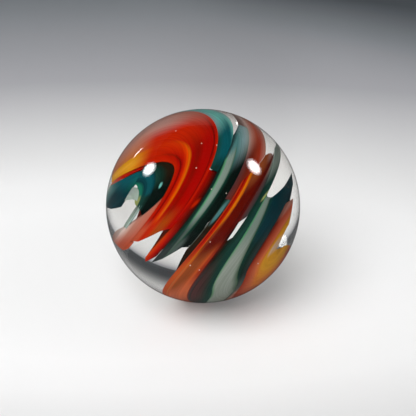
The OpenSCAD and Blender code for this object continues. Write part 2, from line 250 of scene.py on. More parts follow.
@dataclass(frozen=True)
class Cane:
    """The hot cane the marble was cut from, and the ball it was rounded to.

    Every face in the cane is made of arcs round one bow centre. The whole section turns steadily
    with the height h along the cane, about a line that misses the ball's middle. A place q across
    the stack is the arc of radius bow_radius + q.
    """

    ball_radius: float = 12.5
    skin: float = 0.25
    lean: float = 28.3
    heading: float = 162.7
    twist_rate: float = 6.18
    twist_start: float = 207.0
    twist_offset: float = 6.3
    twist_offset_side: float = 277.0
    bow_radius: float = 24.9

    @property
    def rim_radius(self) -> float:
        """Radius on which every ribbon's outer edge lies."""
        return self.ball_radius - self.skin

    def turn(self, h: np.ndarray) -> np.ndarray:
        """Turn of the stack at a height, in radians: the start plus the rate times the height."""
        return np.radians(self.twist_start + self.twist_rate * h)

    def middle(self, h: np.ndarray) -> tuple[np.ndarray, np.ndarray]:
        """Middle of the ball's slice at a height, seen from the bow centre, as x and y."""
        a = math.radians(self.twist_offset_side) - self.turn(h)
        return self.bow_radius - self.twist_offset * np.cos(a), -self.twist_offset * np.sin(a)

    def slice_radius(self, h: np.ndarray) -> np.ndarray:
        """Radius of the ball's slice at a height, by Pythagoras from the rim radius."""
        return np.sqrt(np.maximum(0.0, self.rim_radius**2 - h * h))

    def inside(self, q: np.ndarray, h: np.ndarray) -> np.ndarray:
        """How far a face lies inside the rim: the slice's radius less its distance from it."""
        return self.slice_radius(h) - np.abs(self.bow_radius + q - np.hypot(*self.middle(h)))

    def place(self, x: np.ndarray, y: np.ndarray, h: np.ndarray) -> np.ndarray:
        """Carry points of the turning section into the part's frame.

        The section's x and y start at the twist line. They are turned with the stack, moved by
        the twist line's offset, and then the cane is leaned and swung to its heading.

        Args:
            x: Across the layers.
            y: Along the layers.
            h: Height along the cane.

        Returns:
            Points of shape (..., 3), in millimetres.
        """
        turn, side = self.turn(h), math.radians(self.twist_offset_side)
        u = self.twist_offset * math.cos(side) + x * np.cos(turn) - y * np.sin(turn)
        v = self.twist_offset * math.sin(side) + x * np.sin(turn) + y * np.cos(turn)
        b, c = math.radians(self.lean), math.radians(self.heading)
        w = u * math.cos(b) + h * math.sin(b)
        return np.stack(
            [
                w * math.cos(c) - v * math.sin(c),
                w * math.sin(c) + v * math.cos(c),
                -u * math.sin(b) + h * math.cos(b),
            ],
            axis=-1,
        )

    def chord(self, q: np.ndarray, h: np.ndarray) -> np.ndarray:
        """Half angle of the arc from rim to rim, by the law of cosines."""
        r, d, s = self.bow_radius + q, np.hypot(*self.middle(h)), self.slice_radius(h)
        return np.arccos(np.clip((r * r + d * d - s * s) / (2 * r * d), -1.0, 1.0))

    def point(
        self, q: np.ndarray, h: np.ndarray, sunk: np.ndarray, side: float = 1.0
    ) -> np.ndarray:
        """Points at a place across the stack, a height, and a way in from the outer edge.

        Args:
            q: Place across the stack.
            h: Height along the cane.
            sunk: Arc length inwards from the rim, in millimetres.
            side: 1 from the near rim, -1 from the far one.

        Returns:
            Points of shape (..., 3), in millimetres.
        """
        mx, my = self.middle(h)
        r = self.bow_radius + q
        a = np.arctan2(my, mx) - side * (self.chord(q, h) - sunk / r)
        return self.place(r * np.cos(a) - self.bow_radius, r * np.sin(a), h)


@dataclass(frozen=True)
class Seam:
    """A line down the stack that ribbons part along: its place across, by height.

    place + slope * h + curl * h^2, and over flare_from also flare * (h - flare_from)^2. Under
    droop_from it turns back by droop * (droop_from - h)^2, where the ribbons end at the bottom.
    """

    place: float
    slope: float = 0.0
    curl: float = 0.0
    flare: float = 0.0
    flare_from: float = 0.0
    droop: float = 0.0
    droop_from: float = -6.8

    def at(self, h: np.ndarray) -> np.ndarray:
        """Place across the stack.

        Args:
            h: Heights along the cane.

        Returns:
            The place at each height.
        """
        over, under = np.maximum(0.0, h - self.flare_from), np.maximum(0.0, self.droop_from - h)
        level = self.place + self.slope * h + self.curl * h * h
        return level + self.flare * over * over - self.droop * under * under


# The seams, mostly in order across the stack from the left.
SEAMS: dict[str, Seam] = {
    "blade": Seam(-14.6),
    "far_edge": Seam(-15.22, flare=0.33, flare_from=7.6),
    "eye": Seam(-13.5),
    "veil": Seam(-14.4),
    "far_red": Seam(-13.2),
    "wide_red": Seam(-11.5, flare=-0.6, flare_from=8.4),
    "veil_end": Seam(-10.7),
    "wide_amber": Seam(-10.0, flare=-0.25, flare_from=9.0),
    "wide_core": Seam(-9.45, flare=-0.25, flare_from=9.0),
    "leg": Seam(-6.0, 0.04, flare=0.0625, flare_from=6.0),
    "strip": Seam(-3.9, flare=0.06, flare_from=6.5),
    "middle_sage": Seam(-2.3, -0.325, 0.026),
    "middle_green": Seam(-2.15, 0.12),
    "flap": Seam(0.56, flare=0.06, flare_from=3.0),
    "narrow_red": Seam(1.96, -0.06, flare=0.02),
    "narrow_amber": Seam(3.06, -0.03, flare=0.012),
    "narrow_core": Seam(3.6, -0.03, flare=0.012),
    "notch": Seam(5.25),
    "slit": Seam(6.0, -0.12, flare=0.35, flare_from=1.3),
    "dark": Seam(6.9, -0.06, flare=0.05),
    "edge_sage": Seam(8.14, -0.23, flare=0.22, droop=0.26),
    "edge_teal": Seam(9.19, -0.45, -0.0125, droop=0.24),
    "edge_red": Seam(11.6, -0.075, droop=0.17),
    "edge_amber": Seam(12.75, droop=0.1),
    "window": Seam(13.05, droop=-0.3),
}


@dataclass(frozen=True)
class Line:
    """One line of a ribbon's outer edge: its seam, its foot and its head along the cane.

    shift moves it off the seam, so that a step in a head or a foot can be laid beside it. blend
    takes it that share of the way to the seam named by to.
    """

    seam: str
    foot: float = -13.0
    head: float = 13.0
    shift: float = 0.0
    blend: float = 0.0
    to: str = ""

    def at(self, h: np.ndarray) -> np.ndarray:
        """Place across the stack at a height."""
        q = SEAMS[self.seam].at(h) + self.shift
        return q if not self.to else (1 - self.blend) * q + self.blend * SEAMS[self.to].at(h)


@dataclass(frozen=True)
class Sheet:
    """A sheet of one or more glasses side by side, with one outline: its lines and its depth.

    The first glass starts from the first line, the next from the second and so on, and the last
    takes the lines that are left. reach is the most of the way across the ball that it may take,
    and below zero the sheet hangs from the far rim. Above deepen_from and below deepen_under it
    gets deeper still.
    """

    name: str
    glasses: tuple[Glass, ...]
    lines: tuple[Line, ...]
    depth: float = 5.0
    reach: float = 1.0
    deepen_from: float = 13.0
    deepen_under: float = -99.0


RED, AMBER, TEAL, SAGE, GREEN = Glass.RED, Glass.AMBER, Glass.TEAL, Glass.SAGE, Glass.GREEN

SHEETS: tuple[Sheet, ...] = (
    Sheet("blade", (TEAL,), (Line("blade", 6.7), Line("eye", 6.0)), 1.2, 0.2),
    Sheet(
        "leaf", (SAGE,),
        (
            Line("blade", 7.43, 7.8, -1.0), Line("blade", 7.4, 8.7, -0.5),
            Line("blade", 7.15, 9.2, -0.1),
        ),
        0.3, 0.48,
    ),
    Sheet(
        "eye", (GREEN,),
        (
            Line("eye", 6.3, 9.85), Line("eye", 5.6, 9.85, to="wide_red", blend=0.25),
            Line("wide_red", 6.8, 9.85),
        ),
        3.0, 0.48,
    ),
    Sheet(
        "tongue", (TEAL,),
        (Line("blade", 4.7, 6.7, 0.05), Line("blade", 4.4, 6.6, 0.7)),
        0.3, 0.25,
    ),
    Sheet(
        "far_blade", (TEAL,),
        (Line("far_edge", 6.4, 9.9), Line("far_red", 6.0, 9.4), Line("wide_red", 6.6, 8.3)),
        3.0, -0.56,
    ),
    Sheet(
        "far_red", (RED,),
        (
            Line("far_red", 9.95, 10.1, -0.4), Line("far_red", 9.45, 9.95),
            Line("wide_red", 8.35, 9.7),
        ),
        5.0, -0.49,
    ),
    Sheet(
        "wide_red", (RED, AMBER, RED),
        (
            Line("wide_red", 3.0), Line("wide_amber", 2.8), Line("wide_core", 2.95),
            Line("wide_core", 3.4, to="leg", blend=0.55), Line("leg", 3.3),
        ),
        4.5, deepen_from=6.5,
    ),
    Sheet(
        "veil", (RED,),
        (
            Line("veil", 2.3, 4.4), Line("wide_red", 1.6, 6.6, -0.03), Line("wide_red", 1.6, 2.85),
            Line("veil_end", 2.0, 2.75),
        ),
        1.5,
    ),
    Sheet("teal", (TEAL,), (Line("leg", 7.05), Line("strip", 6.35), Line("middle_green", 9.0))),
    Sheet(
        "leg", (RED,),
        (
            Line("leg", 0.7, 7.0), Line("leg", 0.1, 6.65, to="strip", blend=0.4),
            Line("strip", 0.6, 6.3),
        ),
    ),
    Sheet(
        "middle", (GREEN, SAGE, GREEN),
        (
            Line("strip", -0.1, 6.3), Line("middle_sage", 0.1, 6.75),
            Line("middle_green", 0.2, 7.65),
            Line("middle_green", 0.75, 7.75, to="flap", blend=0.55), Line("flap", 0.5, 7.2),
        ),
    ),
    Sheet(
        "flap", (RED,),
        (
            Line("flap", 3.5, 8.4), Line("narrow_red", 3.05, 8.1, -0.12),
            Line("narrow_red", 3.98, 8.0), Line("notch", 4.18, 5.9),
        ),
    ),
    Sheet("sliver", (GREEN,), (Line("flap", 0.3, 3.45), Line("narrow_red", -1.9, 3.0))),
    Sheet(
        "narrow_red", (RED, AMBER),
        (
            Line("narrow_red", head=3.95), Line("narrow_amber", head=4.02),
            Line("narrow_core", head=4.06),
        ),
    ),
    Sheet(
        "narrow_edge", (RED,),
        (
            Line("narrow_core", head=4.06, shift=-0.055), Line("notch", head=4.15),
            Line("slit", head=3.3),
        ),
        1.6,
    ),
    Sheet("cap", (GREEN,), (Line("slit", 0.3, 3.3, -0.05), Line("dark", 0.3, 3.5)), 2.5),
    Sheet("toe", (GREEN,), (Line("slit", head=-0.9), Line("dark", head=-0.9)), 1.5),
    Sheet("dark", (GREEN,), (Line("dark", head=3.5), Line("edge_sage", head=2.8)), 1.5),
    Sheet(
        "edge", (SAGE, TEAL),
        (
            Line("edge_sage", head=0.8), Line("edge_teal", head=0.15),
            Line("edge_teal", head=-0.15, to="edge_red", blend=0.5), Line("edge_red", head=-0.35),
        ),
    ),
    Sheet(
        "edge_red", (RED, AMBER),
        (Line("edge_red", head=-1.9), Line("edge_amber", head=-2.8), Line("window", head=-4.4)),
        1.2, deepen_under=-6.2,
    ),
)


@dataclass(frozen=True)
class Rows:
    """The rows of points that a ribbon is laid out on, from its first line to its last.

    step is the widest gap between two rows, counted at the middle height of their lines and
    within level of the ball's middle. The ends are looked for within the share scope of the rim
    radius, at scan heights first and then by halving a number of times.
    """

    cane: Cane
    lines: tuple[Line, ...]
    film: tuple[float, float]
    step: float = 0.35
    level: float = 11.0
    scope: float = 0.9999
    scan: int = 600
    halvings: int = 40

    def mix(self) -> tuple[np.ndarray, np.ndarray]:
        """Spread the rows out between the lines, each gap in equal parts of a step or less.

        Returns:
            Number of the line before each row, and how far the row lies towards the next.
        """
        index, part = [], []
        for k, (a, b) in enumerate(zip(self.lines, self.lines[1:])):
            h = (max(a.foot, b.foot) + min(a.head, b.head)) / 2
            h = np.clip(h, -self.level, self.level)
            count = max(2, math.ceil(abs(float(b.at(h) - a.at(h))) / self.step))
            index += [k] * count
            part += list(np.arange(count) / count)
        return np.array(index + [len(self.lines) - 2]), np.array(part + [1.0])

    def place(self, h: np.ndarray) -> np.ndarray:
        """Place every row between its two lines, and the first and the last a film inside.

        Args:
            h: Heights, of shape (rows, n).

        Returns:
            Places across the stack, of the same shape.
        """
        index, part = self.mix()
        each = np.stack([line.at(h) for line in self.lines])
        row = np.arange(len(index))
        q = (1 - part)[:, None] * each[index, row] + part[:, None] * each[index + 1, row]
        whole = (index + part) / (len(self.lines) - 1)
        edge = np.where(whole == 0, self.film[0], 0.0) + np.where(whole == 1, -self.film[1], 0.0)
        return q + edge[:, None]

    def ends(self) -> tuple[np.ndarray, np.ndarray]:
        """Find where each row ends: at its foot and head, or where it meets the rim.

        From the height where a row lies furthest inside the rim, each end is found by halving.

        Returns:
            Lowest and highest height of each row.
        """
        index, part = self.mix()
        feet = np.array([line.foot for line in self.lines])
        heads = np.array([line.head for line in self.lines])
        foot, head = ((1 - part) * v[index] + part * v[index + 1] for v in (feet, heads))
        reach = self.cane.rim_radius * self.scope
        foot, head = np.maximum(foot, -reach), np.minimum(head, reach)
        scan = foot[:, None] + (head - foot)[:, None] * np.linspace(0, 1, self.scan)[None, :]
        best = scan[np.arange(len(index)), np.argmax(self.cane.inside(self.place(scan), scan), 1)]
        ends = []
        for end in (foot, head):
            good, bad = best.copy(), end.copy()
            whole = self.cane.inside(self.place(end[:, None]), end[:, None])[:, 0] > 0
            for _ in range(self.halvings):
                mid = (good + bad) / 2
                keep = self.cane.inside(self.place(mid[:, None]), mid[:, None])[:, 0] > 0
                good, bad = np.where(keep, mid, good), np.where(keep, bad, mid)
            ends.append(np.where(whole, end, good))
        return ends[0], ends[1]


# ---- finishes


@dataclass(frozen=True)
class PolishedGlass:
    """Clear soda-lime glass, fire polished: sharp highlights, and a bent view through it."""

    tint: str = "#fdfcf9"
    ior: float = 1.5

    def build(self) -> bpy.types.Material:
        """Make the material. Lamps reach the ribbons through it, as they do through real glass.

        Returns:
            The material.
        """
        material, tree = new_material("polished_clear_glass")
        glass = add_node(
            tree,
            "BsdfPrincipled",
            {
                "Base Color": linear(self.tint),
                "Roughness": 0.0,
                "IOR": self.ior,
                "Transmission Weight": 1.0,
            },
        )
        light = add_node(tree, "LightPath")
        clear = add_node(tree, "BsdfTransparent", {"Color": linear(self.tint)})
        either = {0: light.outputs["Is Shadow Ray"], 1: glass, 2: clear}
        add_node(tree, "OutputMaterial", {"Surface": add_node(tree, "MixShader", either)})
        return material


@dataclass(frozen=True)
class SpeckFinish:
    """A flaw in the glass: pale and shiny for an air bubble, its pale colour a painted glint of
    the light it catches, and dark and dull for a stone.

    Its two colours are mottled at the size of mottle, which is as coarse as a speck can show.
    """

    name: str
    one: str
    other: str
    roughness: float
    mottle: float = 0.02

    def build(self) -> bpy.types.Material:
        """Make the material.

        Returns:
            The material.
        """
        material, tree = new_material(self.name)
        place = add_node(tree, "TexCoord").outputs["Object"]
        spots = add_node(tree, "TexNoise", {"Vector": place, "Scale": 1 / (self.mottle * MM)})
        two = {0: spots, 6: linear(self.one), 7: linear(self.other)}
        colour = add_node(tree, "Mix", two, **COLOUR).outputs[2]
        dressed = {"Base Color": colour, "Roughness": self.roughness}
        solid = add_node(tree, "BsdfPrincipled", dressed)
        add_node(tree, "OutputMaterial", {"Surface": solid})
        return material


class Tone(str, Enum):
    """The tones that a few glasses give, pure, thin over clear glass, or milky where it is hazy.
    Some milky ones are also used for painted glints and painted milky reflection.

    Every ribbon is a few stripes of these.
    """

    MAROON = "#300808"
    OXBLOOD = "#580800"
    GARNET = "#780800"
    CRIMSON = "#980400"
    SCARLET = "#b02000"
    VERMILION = "#c84000"
    MAHOGANY = "#682010"
    RUSSET = "#983018"
    BRICK = "#b04c30"
    CORAL = "#c86840"
    ROSE = "#b07868"
    MAUVE = "#b09890"
    PEARL = "#d8c8c0"
    CHESTNUT = "#884420"
    RUST = "#984008"
    SIENNA = "#b85020"
    COPPER = "#b06838"
    ORANGE = "#c06000"
    AMBER = "#c88808"
    APRICOT = "#d88030"
    HONEY = "#d8a028"
    PETROL = "#043038"
    PEACOCK = "#085058"
    JADE = "#187058"
    LAGOON = "#487878"
    TURQUOISE = "#68b0a8"
    MIST = "#a0b0a8"
    SPRING = "#489060"
    MOSS = "#385840"
    LIME = "#a8b068"
    SAGE = "#788880"
    ASH = "#909890"
    NIGHT = "#04100c"
    BOTTLE = "#0c2820"
    PINE = "#184038"
    SLATE = "#303838"
    SMOKE = "#505c58"
    STEEL = "#80989c"
    UMBER = "#201408"
    COCOA = "#503030"


@dataclass(frozen=True)
class Pool:
    """A soft oval of another colour in a ribbon, where more or less of a glass gathered; a few are
    painted light instead, glints and milky reflections, marked where they stand.

    Its centre and its size are a share of the way across the ribbon, and millimetres of height.
    """

    centre: tuple[float, float]
    size: tuple[float, float]
    colour: str
    strength: float = 1.0
    soft: float = 0.8


@dataclass(frozen=True)
class Look:
    """Colours across one ribbon, from its first line at 0 to its last at 1.

    head holds over the first height of turn and foot below the second. back is how the ribbon
    looks at the far rim, where the glass over it is thick.
    """

    head: Stops
    foot: Stops
    turn: tuple[float, float]
    back: Stops = ()
    pools: tuple[Pool, ...] = ()


@dataclass(frozen=True)
class ColouredGlass:
    """Coloured glass rods drawn out into a ribbon: streaks of colour that run along it.

    Its deep colour is a painted shade: it darkens to it further in from the rim, where less light
    reaches, over deepest millimetres, and sunk is by how much. wander bends the streaks, in shares
    of the width, and glow is the share of the light that comes through the ribbon. streaks is the
    darkest and the lightest of them, and spread the values of the noise that give those.

    grain and bends are how often the streaks and their bends turn in a millimetre, across the
    ribbon, along it and inwards: a streak is about 0.2 mm wide and 8 mm long, as rods are when
    they are drawn out. back is where the far rim's look starts and is full, in millimetres past
    the middle of the ball.
    """

    name: str
    painted_shade: str
    streaks: tuple[float, float] = (0.72, 1.2)
    spread: tuple[float, float] = (0.3, 0.7)
    sunk: float = 0.5
    deepest: float = 3.0
    wander: float = 0.07
    glow: float = 0.3
    roughness: float = 0.6
    grain: Triple = (5.5, 0.12, 0.6)
    bends: Triple = (1.1, 0.16, 0.45)
    back: tuple[float, float] = (-0.5, 3.0)

    def noise(
        self, tree: bpy.types.NodeTree, lay: bpy.types.NodeSocket, often: Triple
    ) -> bpy.types.Node:
        """Noise drawn out along the ribbon.

        Args:
            tree: Node tree to add to.
            lay: Place across the stack, height and way in, in millimetres.
            often: Turns in a millimetre, each way.

        Returns:
            The node of the noise.
        """
        drawn = add_node(tree, "VectorMath", {0: lay, 1: often}, operation="MULTIPLY")
        rough = {"Vector": drawn, "Scale": 1.0, "Detail": 3.0, "Roughness": 0.6}
        return add_node(tree, "TexNoise", rough)

    def build(self, ribbon: str, look: Look) -> bpy.types.Material:
        """Make the material of one ribbon.

        Args:
            ribbon: Name of the ribbon.
            look: Its colours.

        Returns:
            The material.
        """
        material, tree = new_material(f"{self.name}_{ribbon}")
        lay, band = (
            add_node(tree, "Attribute", attribute_name=name).outputs["Vector"]
            for name in ("lay", "band")
        )
        _, height, inwards = add_node(tree, "SeparateXYZ", {0: lay}).outputs
        across, past, _ = add_node(tree, "SeparateXYZ", {0: band}).outputs
        bend = self.noise(tree, lay, self.bends)
        bent = add_node(tree, "Math", {0: bend, 1: 0.5}, operation="SUBTRACT")
        moved = {0: bent, 1: 2 * self.wander, 2: across}
        share = add_node(tree, "Math", moved, operation="MULTIPLY_ADD")
        ramps = [look.head, look.foot] + ([look.back] if look.back else [])
        head, foot, *back = (fill_ramp(add_node(tree, "ValToRGB", {0: share}), r) for r in ramps)

        colour = lay_over(tree, head, foot, height, (*look.turn, 1.0))
        spot = add_node(tree, "CombineXYZ", {0: share, 1: height})
        for pool in look.pools:
            centre, size = (*pool.centre, 0.0), (*pool.size, 1.0)
            off = add_node(tree, "VectorMath", {0: spot, 1: centre}, operation="SUBTRACT")
            oval = add_node(tree, "VectorMath", {0: off, 1: size}, operation="DIVIDE")
            reach = add_node(tree, "VectorMath", {0: oval}, operation="LENGTH").outputs["Value"]
            ease = (1.0, 1.0 - pool.soft, pool.strength)
            colour = lay_over(tree, colour, linear(pool.colour), reach, ease)
        if look.back:
            colour = lay_over(tree, colour, back[0], past, (*self.back, 1.0))
        fine = {
            "Value": self.noise(tree, lay, self.grain),
            "From Min": self.spread[0],
            "From Max": self.spread[1],
            "To Min": self.streaks[0],
            "To Max": self.streaks[1],
        }
        both = {0: 1.0, 6: colour, 7: add_node(tree, "MapRange", fine)}
        colour = add_node(tree, "Mix", both, blend_type="MULTIPLY", **COLOUR).outputs[2]
        # Painted shade: the colour darkens towards the deep one further in from the rim.
        painted_shade = (0.0, self.deepest, self.sunk)
        colour = lay_over(tree, colour, linear(self.painted_shade), inwards, painted_shade)
        dull = {"Base Color": colour, "Roughness": self.roughness, "Specular IOR Level": 0.0}
        solid = add_node(tree, "BsdfPrincipled", dull)
        through = add_node(tree, "BsdfTranslucent", {"Color": colour})
        mixed = add_node(tree, "MixShader", {0: self.glow, 1: solid, 2: through})
        add_node(tree, "OutputMaterial", {"Surface": mixed})
        return material


# The second colour of each glass is the painted shade that it darkens to further in.
FINISHES: dict[Glass, ColouredGlass] = {
    RED: ColouredGlass("selenium_red_glass", "#500400", (0.83, 1.1)),
    AMBER: ColouredGlass("amber_glass", "#804004", (0.83, 1.1)),
    TEAL: ColouredGlass("teal_glass", "#021c20"),
    SAGE: ColouredGlass("sage_glass", "#304038", (0.84, 1.1)),
    GREEN: ColouredGlass("bottle_green_glass", "#000000"),
}

SKY_RED = Pool((0.4, 12.0), (2.2, 3.1), Tone.SCARLET)
